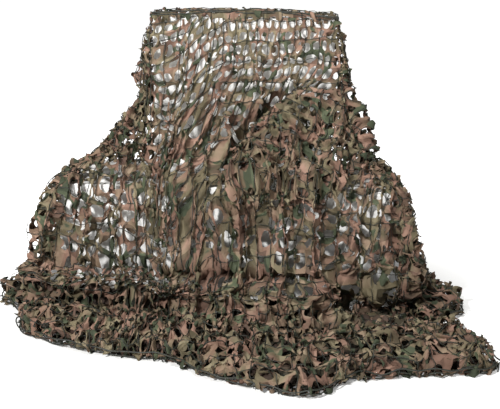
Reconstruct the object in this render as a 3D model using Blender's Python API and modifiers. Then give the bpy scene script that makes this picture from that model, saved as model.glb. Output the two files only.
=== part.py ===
"""A camouflage net draped over a plain stepped stand: a low wide block with a tall back board behind it.

Metres, +Z up. The origin is on the floor, under the middle of the low block, and the front faces -Y.
The net is one sheet. It hangs from the top edge of the back board, slopes to the block's edges, falls
down the block and ends in rolls on the floor, with its hem turned under.
"""

import bmesh
import bpy
import numpy as np

# Stand
BLOCK_WIDTH = 1.26
BLOCK_DEPTH = 0.39
BLOCK_HEIGHT = 0.45
BACK_WIDTH = 0.72
BACK_DEPTH = 0.10
BACK_HEIGHT = 1.04
BACK_X = 0.04  # the back board stands a little to the right of the block's middle
BOARD_EDGE = 0.002
SLIT = 0.0003  # between pieces that touch

# Net
CLOTH = 0.006  # the net with its garnish pressed flat
EDGE_CLEAR = 0.002  # from the cloth's inner face to an edge that it passes over
TOP_INSET = 0.02  # where the cloth comes down on the top of the back board
SAG_HEIGHT = 0.51  # of the slope's bend
NOSE_HEIGHT = 0.035
COLUMN_STEP = 0.062  # between the columns of the loft, at the floor
PLEATS = 28.0  # pleats in one round of the stand
PLEAT_LIFT = 0.55  # share of a pleat's depth that stands out of the cloth's mean face
PLEAT_LEVELS = (0, 0.3, 0.85, 1.0, 1.5, 2.2, 2.9, 3.0)
PLEAT_DEPTHS = (0, 0.5, 0.9, 0.3, 1.3, 0.9, 0.5, 0)  # shares of the table's gather at those levels
WANDER = 0.25  # how far a pleat strays sideways, in pleats
FRONT_FROM_Y = 0.16  # the creases on the front start in front of this
EDGE_BAND = 0.3  # levels each side of the block's edge where a fold can't sink

# The last column is how far out the slope's bend is, as a share of its run.
# Places round the stand, clockwise from the front left corner of the back board as seen from above
# the front. Each full turn is one straight side of the back board's top or one of its corners:
# -1 to 1 front, 1 to 2 corner, 2 to 2.2 right end, 2.2 to 3.2 corner, 3.2 to 5.2 back,
# 5.2 to 6.2 corner, 6.2 to 6.4 left end, 6.4 to 7.4 corner.
ROUND = 8.4
COLUMNS = (
    "edge_x", "edge_y", "foot_x", "foot_y", "foot_z", "nose_x", "nose_y",
    "near_z", "dip_z", "far_z", "tuck", "pleat", "gather", "sag",
)
STATIONS = (
    # turn  edge x  edge y  foot x  foot y foot z nose x  nose y near  dip    far   tuck  pleat gather sag
    (-1.00, -0.340, -0.205, -0.360, -0.260, 0.17, -0.380, -0.750, 0.15, 0.045, 0.095, 0.20, 0.0, 0.014, 0.24),
    (-0.33, -0.090, -0.205, -0.100, -0.250, 0.16, -0.125, -0.800, 0.14, 0.050, 0.095, 0.20, 1.6, 0.010, 0.34),
    (-0.08, 0.005, -0.205, 0.010, -0.250, 0.16, 0.005, -0.905, 0.14, 0.050, 0.090, 0.18, 2.3, 0.010, 0.36),
    (0.33, 0.170, -0.205, 0.180, -0.250, 0.16, 0.210, -0.995, 0.15, 0.050, 0.105, 0.16, 3.4, 0.012, 0.36),
    (0.70, 0.320, -0.205, 0.340, -0.260, 0.16, 0.350, -1.020, 0.14, 0.045, 0.110, 0.12, 4.5, 0.014, 0.36),
    (1.00, 0.410, -0.205, 0.440, -0.260, 0.15, 0.470, -0.890, 0.09, 0.035, 0.095, 0.13, 5.3, 0.014, 0.32),
    (1.22, 0.550, -0.205, 0.575, -0.260, 0.13, 0.660, -0.845, 0.04, 0.030, 0.105, 0.16, 6.3, 0.012, 0.28),
    (1.45, 0.640, -0.205, 0.685, -0.255, 0.15, 0.955, -0.765, 0.05, 0.035, 0.100, 0.12, 7.4, 0.014, 0.29),
    (1.53, 0.640, -0.170, 0.695, -0.225, 0.18, 0.905, -0.610, 0.08, 0.045, 0.085, 0.08, 7.8, 0.012, 0.29),
    (1.64, 0.640, -0.130, 0.705, -0.190, 0.22, 0.750, -0.415, 0.14, 0.060, 0.060, 0.06, 8.3, 0.010, 0.29),
    (1.76, 0.640, -0.080, 0.710, -0.140, 0.23, 0.905, -0.270, 0.15, 0.090, 0.095, 0.08, 8.9, 0.012, 0.29),
    (2.00, 0.640, 0.020, 0.705, 0.020, 0.22, 0.850, -0.080, 0.14, 0.080, 0.090, 0.08, 9.8, 0.012, 0.29),
    (2.20, 0.640, 0.060, 0.700, 0.100, 0.20, 0.800, 0.080, 0.13, 0.070, 0.080, 0.08, 10.4, 0.012, 0.29),
    (2.60, 0.640, 0.205, 0.680, 0.260, 0.16, 0.755, 0.370, 0.11, 0.050, 0.070, 0.08, 12.0, 0.012, 0.28),
    (3.20, 0.412, 0.311, 0.440, 0.370, 0.16, 0.460, 0.560, 0.12, 0.050, 0.080, 0.10, 14.3, 0.014, 0.32),
    (4.20, 0.040, 0.311, 0.040, 0.360, 0.15, 0.040, 0.560, 0.11, 0.050, 0.070, 0.10, 16.6, 0.010, 0.38),
    (5.20, -0.332, 0.311, -0.360, 0.370, 0.16, -0.380, 0.590, 0.12, 0.050, 0.080, 0.10, 19.0, 0.014, 0.28),
    (5.80, -0.640, 0.205, -0.690, 0.260, 0.15, -0.790, 0.370, 0.11, 0.050, 0.080, 0.10, 21.4, 0.014, 0.16),
    (6.20, -0.640, 0.080, -0.695, 0.100, 0.14, -0.780, 0.090, 0.10, 0.060, 0.070, 0.08, 23.0, 0.012, 0.14),
    (6.40, -0.640, 0.030, -0.700, 0.020, 0.14, -0.795, -0.050, 0.10, 0.070, 0.080, 0.08, 23.6, 0.012, 0.14),
    (6.62, -0.640, -0.080, -0.705, -0.100, 0.14, -0.840, -0.270, 0.11, 0.070, 0.085, 0.08, 24.5, 0.012, 0.14),
    (6.80, -0.640, -0.140, -0.705, -0.180, 0.14, -0.735, -0.410, 0.13, 0.050, 0.070, 0.08, 25.3, 0.012, 0.14),
    (6.95, -0.640, -0.205, -0.700, -0.250, 0.17, -0.690, -0.580, 0.15, 0.040, 0.095, 0.12, 26.0, 0.014, 0.15),
    (7.15, -0.520, -0.205, -0.545, -0.260, 0.17, -0.545, -0.680, 0.15, 0.045, 0.095, 0.18, 26.9, 0.014, 0.18),
)
TABLE = np.array(STATIONS)

# How the cloth crosses the floor: shares of the way from the foot to the nose, and what stands there.
FLOOR_STEPS = (0.0, 0.24, 0.42, 0.64, 0.86, 1.0)
FLOOR_OUT = (0.0, 0.19, 0.37, 0.62, 0.93, 1.0)

# Soft troughs and ridges on the front, from one end to the other, across (X) and up (Z).
FRONT_FOLDS = (
    # x1     z1     x2     z2     width  depth (+ stands out)
    (0.265, 0.790, -0.045, 0.420, 0.050, -0.032),  # the long slanting crease
    (0.340, 0.760, 0.050, 0.400, 0.075, 0.060),  # the doubled thickness right of it
    (0.480, 0.700, 0.340, 0.460, 0.070, 0.030),
    (0.100, 0.940, -0.260, 0.500, 0.060, 0.022),
    (-0.060, 0.940, -0.370, 0.540, 0.060, -0.014),
    (-0.210, 0.860, -0.480, 0.490, 0.060, 0.020),
    (0.030, 0.400, 0.050, 0.180, 0.070, 0.036),
    (-0.130, 0.380, -0.110, 0.180, 0.045, 0.020),
    (0.300, 0.420, 0.280, 0.180, 0.050, 0.024),
)

RING_LEVELS = (
    0.0, 0.14, 0.28, 0.42, 0.56, 0.70, 0.84, 1.0, 1.12, 1.40, 1.70, 2.0,
    2.14, 2.24, 2.34, 2.43, 2.54, 2.68, 2.86, 2.95, 3.0, 3.25, 4.0,
)


def station(turn, name, straight=False):
    """One column of the table at any turn, on a smooth curve through its rows, or straight between them."""
    at = TABLE[:, 0]
    value = TABLE[:, 1 + COLUMNS.index(name)]
    lap = PLEATS if name == "pleat" else 0.0  # what one round adds to the value
    turn = (turn - at[0]) % ROUND + at[0]
    at = np.concatenate([at[-1:] - ROUND, at, at[:2] + ROUND])
    value = np.concatenate([value[-1:] - lap, value, value[:2] + lap])
    row = np.clip(np.searchsorted(at, turn, side="right") - 1, 1, len(at) - 3)
    span = at[row + 1] - at[row]
    part = (turn - at[row]) / span
    if straight:
        return value[row] * (1 - part) + value[row + 1] * part
    slope = (value[2:] - value[:-2]) / (at[2:] - at[:-2])
    leave, arrive = slope[row - 1] * span, slope[row] * span
    rise = value[row + 1] - value[row]
    bend = leave - rise, rise - arrive
    return value[row] + part * rise + part * (1 - part) * ((1 - part) * bend[0] + part * bend[1])


def eased(part):
    return part * part * (3 - 2 * part)


def unit(vector):
    return vector / np.linalg.norm(vector, axis=-1, keepdims=True)


def top_edge(turn):
    """Where a column leaves the top of the back board, just outside its edge."""
    half_x = BACK_WIDTH / 2 + EDGE_CLEAR + CLOTH / 2
    half_y = BACK_DEPTH / 2 + EDGE_CLEAR + CLOTH / 2
    turn = (turn + 1) % ROUND - 1
    x = np.interp(turn, (-1, 1, 3.2, 5.2), (-half_x, half_x, half_x, -half_x))
    y = np.interp(turn, (-1, 2, 2.2, 6.2, 6.4), (-half_y, -half_y, half_y, half_y, -half_y))
    middle_y = BLOCK_DEPTH / 2 + SLIT + BACK_DEPTH / 2
    return np.stack([BACK_X + x, middle_y + y], -1)


def draped(turn, level):
    """A point of the cloth's outer face before its folds.

    Level 0 is the top edge, 1 the block's edge, 2 the foot where it leaves the block, 3 the nose of
    the outer roll, and 4 the hem.
    """
    turn, level = np.broadcast_arrays(np.asarray(turn, float), np.asarray(level, float))
    top = top_edge(turn)
    edge = np.stack([station(turn, "edge_x", True), station(turn, "edge_y", True)], -1)
    foot = np.stack([station(turn, "foot_x"), station(turn, "foot_y")], -1)
    nose = np.stack([station(turn, "nose_x"), station(turn, "nose_y")], -1)
    top_z = BACK_HEIGHT + EDGE_CLEAR + CLOTH
    edge_z = BLOCK_HEIGHT + EDGE_CLEAR + CLOTH
    foot_z = station(turn, "foot_z")

    slope = np.clip(level, 0, 1)
    rest = 1 - slope
    bend = top + station(turn, "sag")[..., None] * (edge - top)
    xy = (rest**2)[..., None] * top + (2 * slope * rest)[..., None] * bend + (slope**2)[..., None] * edge
    z = rest**2 * top_z + 2 * slope * rest * SAG_HEIGHT + slope**2 * edge_z

    fall = np.clip(level - 1, 0, 1)
    xy = xy + (1 - (1 - fall) ** 3)[..., None] * (foot - edge)
    z = z + fall * (foot_z - edge_z)

    floor = np.clip(level - 2, 0, 1)
    xy = xy + np.interp(floor, FLOOR_STEPS, FLOOR_OUT)[..., None] * (nose - foot)
    heights = [foot_z] + [station(turn, name) for name in ("near_z", "dip_z", "far_z")]
    heights += [0.8 * heights[3], np.full_like(z, NOSE_HEIGHT)]
    for start, stop, low, high in zip(FLOOR_STEPS, FLOOR_STEPS[1:], heights, heights[1:]):
        z = z + eased(np.clip((floor - start) / (stop - start), 0, 1)) * (high - low)

    under = np.clip(level - 3, 0, 1)
    step = 0.02
    ahead, behind = turn + step, turn - step
    along_x = station(ahead, "nose_x") - station(behind, "nose_x")
    along_y = station(ahead, "nose_y") - station(behind, "nose_y")
    inward = unit(foot - nose) + unit(np.stack([-along_y, along_x], -1))
    inward = unit(inward)
    xy = xy + (under**2 * station(turn, "tuck"))[..., None] * inward
    z = z - NOSE_HEIGHT * np.clip(3 * under, 0, 1)
    return np.concatenate([xy, z[..., None]], -1)


def folds(turn, level, point):
    """How far the cloth stands out at its pleats and at the creases on its front."""
    wander = WANDER * np.sin(2.1 * level + 1.7 * turn)
    wave = np.sin(2 * np.pi * (station(turn, "pleat") + wander))
    depth = station(turn, "gather") * np.interp(level, PLEAT_LEVELS, PLEAT_DEPTHS)
    out = depth * (wave + PLEAT_LIFT)

    facing = np.clip((FRONT_FROM_Y - point[..., 1]) / 0.08, 0, 1)
    facing = facing * np.clip(2.2 - level, 0, 1) * np.clip(level / 0.15, 0, 1)
    across = point[..., [0, 2]]
    for x1, z1, x2, z2, width, depth in FRONT_FOLDS:
        start = np.array((x1, z1))
        way = np.array((x2, z2)) - start
        along = np.clip((across - start) @ way / (way @ way), 0, 1)
        apart = np.linalg.norm(across - start - along[..., None] * way, axis=-1)
        taper = 0.35 + 0.65 * np.sin(np.pi * (0.15 + 0.7 * along))
        out = out + facing * depth * taper * np.exp(-((apart / width) ** 2))
    on_edge = np.clip(1 - np.abs(level - 1) / EDGE_BAND, 0, 1)
    return np.where(out < 0, out * (1 - on_edge), out)


def outward(turn, level):
    """The direction that the cloth's outer face looks in."""
    step = 0.01
    level = np.clip(level, 0.05, 3.98)
    round_it = draped(turn + step, level) - draped(turn - step, level)
    down = draped(turn, level + step) - draped(turn, level - step)
    return unit(np.cross(down, round_it))


def kept_clear(point):
    """Moves a point that a fold has pressed into the stand back to the cloth's clearance."""
    gap = EDGE_CLEAR + CLOTH
    back_y = BLOCK_DEPTH / 2 + SLIT + BACK_DEPTH / 2
    boxes = (
        (0, 0, BLOCK_WIDTH / 2 + gap, BLOCK_DEPTH / 2 + gap, BLOCK_HEIGHT + gap),
        (BACK_X, back_y, BACK_WIDTH / 2 + gap, BACK_DEPTH / 2 + gap, BACK_HEIGHT + gap),
    )
    point = point.copy()
    for x, y, half_x, half_y, high in boxes:
        past_x = half_x - np.abs(point[..., 0] - x)
        past_y = half_y - np.abs(point[..., 1] - y)
        past_z = high - point[..., 2]
        inside = (past_x > 0) & (past_y > 0) & (past_z > 0)
        least = np.minimum(np.minimum(past_x, past_y), past_z)
        side_x = np.where(point[..., 0] < x, -1, 1)
        side_y = np.where(point[..., 1] < y, -1, 1)
        by_x = inside & (least == past_x)
        by_y = inside & (least == past_y) & ~by_x
        by_z = inside & ~by_x & ~by_y
        point[..., 0] += np.where(by_x, side_x * past_x, 0)
        point[..., 1] += np.where(by_y, side_y * past_y, 0)
        point[..., 2] += np.where(by_z, past_z, 0)
    return point


def cloth_face(turn, level):
    """A point of the cloth's outer face with its folds."""
    base = draped(turn, level)
    out = folds(turn, level, base)
    point = kept_clear(base + out[..., None] * outward(turn, level))
    point[..., 2] = np.where(level < 3.3, np.maximum(point[..., 2], CLOTH), np.maximum(point[..., 2], 0))
    return point


def column_turns():
    """The turns of the loft's columns: every station, and evenly between them by the way on the floor."""
    turns = []
    starts = TABLE[:, 0]
    for start, stop in zip(starts, np.append(starts[1:], starts[0] + ROUND)):
        way = max(
            np.linalg.norm(draped(stop, level) - draped(start, level)) for level in (1.0, 2.0, 2.9)
        )
        count = int(np.ceil(way / COLUMN_STEP))
        turns += [start + (stop - start) * k / count for k in range(count)]
    return np.array(turns)


def material(name, colour, roughness, metallic=0.0):
    made = bpy.data.materials.new(name)
    made.use_nodes = True
    shader = made.node_tree.nodes["Principled BSDF"]
    shader.inputs["Base Color"].default_value = (*colour, 1)
    shader.inputs["Roughness"].default_value = roughness
    shader.inputs["Metallic"].default_value = metallic
    return made


def add_object(collection, name, build, finish):
    """A new object whose mesh is what build makes in a bmesh."""
    made = bmesh.new()
    build(made)
    mesh = bpy.data.meshes.new(name)
    made.to_mesh(mesh)
    made.free()
    mesh.materials.append(finish)
    thing = bpy.data.objects.new(name, mesh)
    collection.objects.link(thing)
    return thing


def add_board(collection, name, size, middle, finish):
    def build(made):
        bmesh.ops.create_cube(made, size=1)
        bmesh.ops.scale(made, vec=size, verts=made.verts)

    board = add_object(collection, name, build, finish)
    board.location = middle
    edges = board.modifiers.new("Edges", "BEVEL")
    edges.width = BOARD_EDGE
    edges.segments = 1
    return board


def add_net(collection, finish):
    """The sheet as a loft of rings round the stand, closed over the top of the back board."""
    turns = column_turns()
    rings = [cloth_face(turns, np.full_like(turns, level)) for level in RING_LEVELS]
    middle = np.array((BACK_X, BLOCK_DEPTH / 2 + SLIT + BACK_DEPTH / 2))
    seat = rings[0].copy()
    away = seat[:, :2] - middle
    seat[:, :2] = middle + np.sign(away) * (np.abs(away) - np.minimum(TOP_INSET, 0.4 * np.abs(away)))
    seat[:, 2] = BACK_HEIGHT + SLIT + CLOTH
    rings.insert(0, seat)

    def build(made):
        verts = [[made.verts.new(point) for point in ring] for ring in rings]
        count = len(turns)
        made.faces.new(verts[0])
        for upper, lower in zip(verts, verts[1:]):
            for k in range(count):
                after = (k + 1) % count
                made.faces.new((upper[k], lower[k], lower[after], upper[after]))
        bmesh.ops.remove_doubles(made, verts=made.verts, dist=0.00005)
        bmesh.ops.triangulate(made, faces=made.faces)
        bmesh.ops.dissolve_degenerate(made, dist=0.00005, edges=made.edges)
        bmesh.ops.recalc_face_normals(made, faces=made.faces)

    net = add_object(collection, "net", build, finish)
    thickness = net.modifiers.new("Thickness", "SOLIDIFY")
    thickness.thickness = CLOTH
    thickness.offset = -1
    net.data.shade_smooth()
    return net


def main():
    for thing in list(bpy.data.objects):
        bpy.data.objects.remove(thing, do_unlink=True)
    collection = bpy.data.collections.new("camouflage_net_on_stand")
    bpy.context.scene.collection.children.link(collection)

    white_board = material("white_painted_board", (0.80, 0.80, 0.78), 0.55)
    garnish = material("brown_green_garnish", (0.20, 0.15, 0.10), 0.85)

    add_board(
        collection, "stand_block", (BLOCK_WIDTH, BLOCK_DEPTH, BLOCK_HEIGHT),
        (0, 0, BLOCK_HEIGHT / 2), white_board,
    )
    add_board(
        collection, "stand_back", (BACK_WIDTH, BACK_DEPTH, BACK_HEIGHT),
        (BACK_X, BLOCK_DEPTH / 2 + SLIT + BACK_DEPTH / 2, BACK_HEIGHT / 2), white_board,
    )
    add_net(collection, garnish)


main()
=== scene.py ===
"""Looks of a camouflage net draped over a plain stepped stand: leaf-cut cloth on a knotted cord mesh.

The net is drawn flat, as rows of leaf cuts and a square mesh of cord, and then laid on the drape. The drape
is a fine grid of points, and each of them knows which place of the flat sheet lies there. It has a few
parts that overlap where they meet, and each part has its own piece of the flat sheet.
"""

from functools import partial
from types import SimpleNamespace

import bpy
import numpy as np
from mathutils import Matrix, Vector


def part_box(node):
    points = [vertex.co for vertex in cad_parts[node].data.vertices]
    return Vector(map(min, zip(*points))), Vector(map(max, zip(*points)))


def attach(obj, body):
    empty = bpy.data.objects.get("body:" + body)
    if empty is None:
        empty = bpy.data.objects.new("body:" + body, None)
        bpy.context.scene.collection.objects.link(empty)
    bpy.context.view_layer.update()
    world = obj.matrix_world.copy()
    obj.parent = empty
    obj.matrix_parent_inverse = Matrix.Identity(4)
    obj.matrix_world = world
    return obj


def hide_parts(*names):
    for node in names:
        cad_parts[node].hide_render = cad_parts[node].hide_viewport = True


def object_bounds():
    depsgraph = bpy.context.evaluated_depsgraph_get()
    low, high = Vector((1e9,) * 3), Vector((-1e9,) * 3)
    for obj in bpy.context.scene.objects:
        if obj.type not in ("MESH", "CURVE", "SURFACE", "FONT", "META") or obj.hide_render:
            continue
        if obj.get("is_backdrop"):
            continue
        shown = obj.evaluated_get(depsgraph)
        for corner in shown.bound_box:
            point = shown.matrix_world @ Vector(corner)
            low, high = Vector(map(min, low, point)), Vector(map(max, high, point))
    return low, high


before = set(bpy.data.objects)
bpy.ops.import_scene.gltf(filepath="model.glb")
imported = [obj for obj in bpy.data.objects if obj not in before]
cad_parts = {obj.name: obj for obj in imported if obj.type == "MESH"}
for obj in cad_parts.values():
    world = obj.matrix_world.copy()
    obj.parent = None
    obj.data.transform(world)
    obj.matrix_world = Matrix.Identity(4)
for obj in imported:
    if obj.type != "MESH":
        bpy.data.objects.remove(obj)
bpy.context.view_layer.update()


def node_box(node):
    """Middle and size of a CAD node's box, to a hundredth of a millimetre."""
    low, high = (np.array(corner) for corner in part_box(node))
    return np.round((low + high) / 2, 5).tolist(), np.round(high - low, 5).tolist()


# The stand as the frame has it, the block's middle at x = y = 0; every length here is in metres
_, (BLOCK_WIDTH, BLOCK_DEPTH, BLOCK_HEIGHT) = node_box("stand_block")
(BACK_X, BACK_Y, _), (BACK_WIDTH, BACK_DEPTH, BACK_HEIGHT) = node_box("stand_back")

# The drape
CLOTH = 0.006            # thickness
EDGE_CLEAR = 0.002       # between cloth and stand
SAG_HEIGHT = 0.51        # height towards which the slope sags
NOSE_HEIGHT = 0.035      # of the outer roll's nose
PLEATS = 28.0            # round the whole drape
PLEAT_LIFT = 0.55        # part of a pleat's depth by which all of it stands out
PLEAT_LEVELS = (0, 0.3, 0.85, 1.0, 1.5, 2.2, 2.9, 3.0)
PLEAT_DEPTHS = (0, 0.5, 0.9, 0.3, 1.3, 0.9, 0.5, 0)
WANDER = 0.25            # of a pleat, to the side
FRONT_FROM_Y = 0.16
EDGE_BAND = 0.3          # levels next to the block's edge where no fold goes in

# Columns of the drape: a turn counts round it from the front, ROUND turns in all
ROUND = 8.4
COLUMNS = (
    "edge_x", "edge_y", "foot_x", "foot_y", "foot_z", "nose_x", "nose_y",
    "near_z", "dip_z", "far_z", "tuck", "pleat", "gather", "sag",
)
STATIONS = (
    # turn  edge x  edge y  foot x  foot y foot z nose x  nose y near  dip    far   tuck  pleat gather sag
    (-1.00, -0.340, -0.205, -0.360, -0.260, 0.17, -0.380, -0.750, 0.15, 0.045, 0.095, 0.20, 0.0, 0.014, 0.24),
    (-0.33, -0.090, -0.205, -0.100, -0.250, 0.16, -0.125, -0.800, 0.14, 0.050, 0.095, 0.20, 1.6, 0.010, 0.34),
    (-0.08, 0.005, -0.205, 0.010, -0.250, 0.16, 0.005, -0.905, 0.14, 0.050, 0.090, 0.18, 2.3, 0.010, 0.36),
    (0.33, 0.170, -0.205, 0.180, -0.250, 0.16, 0.210, -0.995, 0.15, 0.050, 0.105, 0.16, 3.4, 0.012, 0.36),
    (0.70, 0.320, -0.205, 0.340, -0.260, 0.16, 0.350, -1.020, 0.14, 0.045, 0.110, 0.12, 4.5, 0.014, 0.36),
    (1.00, 0.410, -0.205, 0.440, -0.260, 0.15, 0.470, -0.890, 0.09, 0.035, 0.095, 0.13, 5.3, 0.014, 0.32),
    (1.22, 0.550, -0.205, 0.575, -0.260, 0.13, 0.660, -0.845, 0.04, 0.030, 0.105, 0.16, 6.3, 0.012, 0.28),
    (1.45, 0.640, -0.205, 0.685, -0.255, 0.15, 0.955, -0.765, 0.05, 0.035, 0.100, 0.12, 7.4, 0.014, 0.29),
    (1.53, 0.640, -0.170, 0.695, -0.225, 0.18, 0.905, -0.610, 0.08, 0.045, 0.085, 0.08, 7.8, 0.012, 0.29),
    (1.64, 0.640, -0.130, 0.705, -0.190, 0.22, 0.750, -0.415, 0.14, 0.060, 0.060, 0.06, 8.3, 0.010, 0.29),
    (1.76, 0.640, -0.080, 0.710, -0.140, 0.23, 0.905, -0.270, 0.15, 0.090, 0.095, 0.08, 8.9, 0.012, 0.29),
    (2.00, 0.640, 0.020, 0.705, 0.020, 0.22, 0.850, -0.080, 0.14, 0.080, 0.090, 0.08, 9.8, 0.012, 0.29),
    (2.20, 0.640, 0.060, 0.700, 0.100, 0.20, 0.800, 0.080, 0.13, 0.070, 0.080, 0.08, 10.4, 0.012, 0.29),
    (2.60, 0.640, 0.205, 0.680, 0.260, 0.16, 0.755, 0.370, 0.11, 0.050, 0.070, 0.08, 12.0, 0.012, 0.28),
    (3.20, 0.412, 0.311, 0.440, 0.370, 0.16, 0.460, 0.560, 0.12, 0.050, 0.080, 0.10, 14.3, 0.014, 0.32),
    (4.20, 0.040, 0.311, 0.040, 0.360, 0.15, 0.040, 0.560, 0.11, 0.050, 0.070, 0.10, 16.6, 0.010, 0.38),
    (5.20, -0.332, 0.311, -0.360, 0.370, 0.16, -0.380, 0.590, 0.12, 0.050, 0.080, 0.10, 19.0, 0.014, 0.28),
    (5.80, -0.640, 0.205, -0.690, 0.260, 0.15, -0.790, 0.370, 0.11, 0.050, 0.080, 0.10, 21.4, 0.014, 0.16),
    (6.20, -0.640, 0.080, -0.695, 0.100, 0.14, -0.780, 0.090, 0.10, 0.060, 0.070, 0.08, 23.0, 0.012, 0.14),
    (6.40, -0.640, 0.030, -0.700, 0.020, 0.14, -0.795, -0.050, 0.10, 0.070, 0.080, 0.08, 23.6, 0.012, 0.14),
    (6.62, -0.640, -0.080, -0.705, -0.100, 0.14, -0.840, -0.270, 0.11, 0.070, 0.085, 0.08, 24.5, 0.012, 0.14),
    (6.80, -0.640, -0.140, -0.705, -0.180, 0.14, -0.735, -0.410, 0.13, 0.050, 0.070, 0.08, 25.3, 0.012, 0.14),
    (6.95, -0.640, -0.205, -0.700, -0.250, 0.17, -0.690, -0.580, 0.15, 0.040, 0.095, 0.12, 26.0, 0.014, 0.15),
    (7.15, -0.520, -0.205, -0.545, -0.260, 0.17, -0.545, -0.680, 0.15, 0.045, 0.095, 0.18, 26.9, 0.014, 0.18),
)
TABLE = np.array(STATIONS)
FLOOR_STEPS = (0.0, 0.24, 0.42, 0.64, 0.86, 1.0)
FLOOR_OUT = (0.0, 0.19, 0.37, 0.62, 0.93, 1.0)
FRONT_FOLDS = (
    # x1     z1     x2     z2     width  depth (+ stands out)
    (0.265, 0.790, -0.045, 0.420, 0.050, -0.032),
    (0.340, 0.760, 0.050, 0.400, 0.075, 0.060),
    (0.480, 0.700, 0.340, 0.460, 0.070, 0.030),
    (0.100, 0.940, -0.260, 0.500, 0.060, 0.022),
    (-0.060, 0.940, -0.370, 0.540, 0.060, -0.014),
    (-0.210, 0.860, -0.480, 0.490, 0.060, 0.020),
    (0.030, 0.400, 0.050, 0.180, 0.070, 0.036),
    (-0.130, 0.380, -0.110, 0.180, 0.045, 0.020),
    (0.300, 0.420, 0.280, 0.180, 0.050, 0.024),
)
CREASE_LOW = np.array((-0.055, 0.40))    # x and z of the long crease's two ends
CREASE_HIGH = np.array((0.265, 0.79))

# How far the apron at the foot and the hollow at the front right move the cloth, by level
APRON_LEVELS = (1.3, 1.6, 1.8, 1.95, 2.1, 2.25, 2.36)
APRON_OUT = (0.0, 0.028, 0.062, 0.100, 0.092, 0.045, 0.0)
HOLLOW_LEVELS = (1.15, 1.6, 1.92, 2.10, 2.26, 2.42, 2.5)
HOLLOW_OUT = (0.0, 0.034, 0.100, -0.050, -0.050, -0.010, 0.0)
HOLLOW_DOWN = (0.0, -0.022, -0.066, -0.070, -0.050, -0.036, -0.012)

# Leaf cuts and cord mesh, on the flat sheet
HOLE_ACROSS = 0.045
HOLE_DOWN = 0.051
RIM = 16                 # points round a hole
VARIANTS = 32            # cells, from shut to open
CORD_ACROSS = 0.070
CORD_DOWN = 0.084
CORD_PIECE = 0.018       # length of the straight pieces of a cord
CORD_RADIUS = 0.0016
CORD_HEIGHT = 0.006      # of the cords over the drape
BORDER_RADIUS = 0.0026
HUMP = 0.016             # of the cloth on top of the back board

# The drape's grid and its flattening
GRID = 0.006             # between points
HIDDEN_GRID = 0.012
THREAD_FOLD = 0.080      # from one fold along the threads to the next
STAND_GAP = 0.006        # least gap between drape and stand
FLOOR_LEAST = 0.004      # lowest point of the drape
HIDDEN_HEIGHT = 0.012    # of the hidden layer under the hollow
UNCUT = -1.3             # an openness so low that every cell is the uncut one
HOOD_OPENED = 0.35
FLAT_STEP = 4            # rows and columns between those that are laid flat
FLAT_ROUNDS = 220
FLAT_TURN = 0.9          # part of the turn found that each round takes
FLAT_SPEED = 0.9         # part of the last move that each round keeps
FLAT_APART = 0.12        # between two parts on the flat sheet
SHEET_SPAN = 30.0        # the parts lie within this length of sheet, which is one unit on the drape's map
FLOOR_GAP = 0.0015       # lowest cloth over the floor
TIP_HEIGHT = 0.030       # leaves stand this far over the back board, then bend
PICK_SPREAD = 0.42       # of the cells' openness round what is wanted there


# ---------------------------------------------------------------- the drape


def limited(value):
    """A value kept between 0 and 1."""
    return np.clip(value, 0, 1)


def eased(part):
    """Rises from 0 to 1 with a soft start and end."""
    part = limited(part)
    return part * part * (3 - 2 * part)


def bump(value, middle, reach):
    """1 at the middle, falling to 0 at the reach."""
    return eased(1 - np.abs(value - middle) / reach)


def between(value, low, high, soft):
    """1 between two values, fading out over a soft border outside them."""
    return eased((value - low) / soft + 1) * eased((high - value) / soft + 1)


def unit(vector):
    """The vector at a length of 1."""
    return vector / np.maximum(np.linalg.norm(vector, axis=-1, keepdims=True), 1e-9)


def station(turn, name, straight=False):
    """One column of the table at any turn, on a smooth curve through its rows, or straight between them."""
    at = TABLE[:, 0]
    value = TABLE[:, 1 + COLUMNS.index(name)]
    lap = PLEATS if name == "pleat" else 0.0
    turn = (turn - at[0]) % ROUND + at[0]
    at = np.concatenate([at[-1:] - ROUND, at, at[:2] + ROUND])
    value = np.concatenate([value[-1:] - lap, value, value[:2] + lap])
    row = np.clip(np.searchsorted(at, turn, side="right") - 1, 1, len(at) - 3)
    span = at[row + 1] - at[row]
    part = (turn - at[row]) / span
    if straight:
        return value[row] * (1 - part) + value[row + 1] * part
    slope = (value[2:] - value[:-2]) / (at[2:] - at[:-2])
    leave, arrive = slope[row - 1] * span, slope[row] * span
    rise = value[row + 1] - value[row]
    bend = leave - rise, rise - arrive
    return value[row] + part * rise + part * (1 - part) * ((1 - part) * bend[0] + part * bend[1])


def spot(turn, name, straight=False):
    """Where the drape's edge, foot or nose lies, seen from above."""
    return np.stack([station(turn, f"{name}_{axis}", straight) for axis in "xy"], -1)


def top_edge(turn):
    """Where a column leaves the top of the back board, just outside its edge."""
    half_x = BACK_WIDTH / 2 + EDGE_CLEAR + CLOTH / 2
    half_y = BACK_DEPTH / 2 + EDGE_CLEAR + CLOTH / 2
    turn = (turn + 1) % ROUND - 1
    x = np.interp(turn, (-1, 1, 3.2, 5.2), (-half_x, half_x, half_x, -half_x))
    y = np.interp(turn, (-1, 2, 2.2, 6.2, 6.4), (-half_y, -half_y, half_y, half_y, -half_y))
    return np.stack([BACK_X + x, BACK_Y + y], -1)


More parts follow.
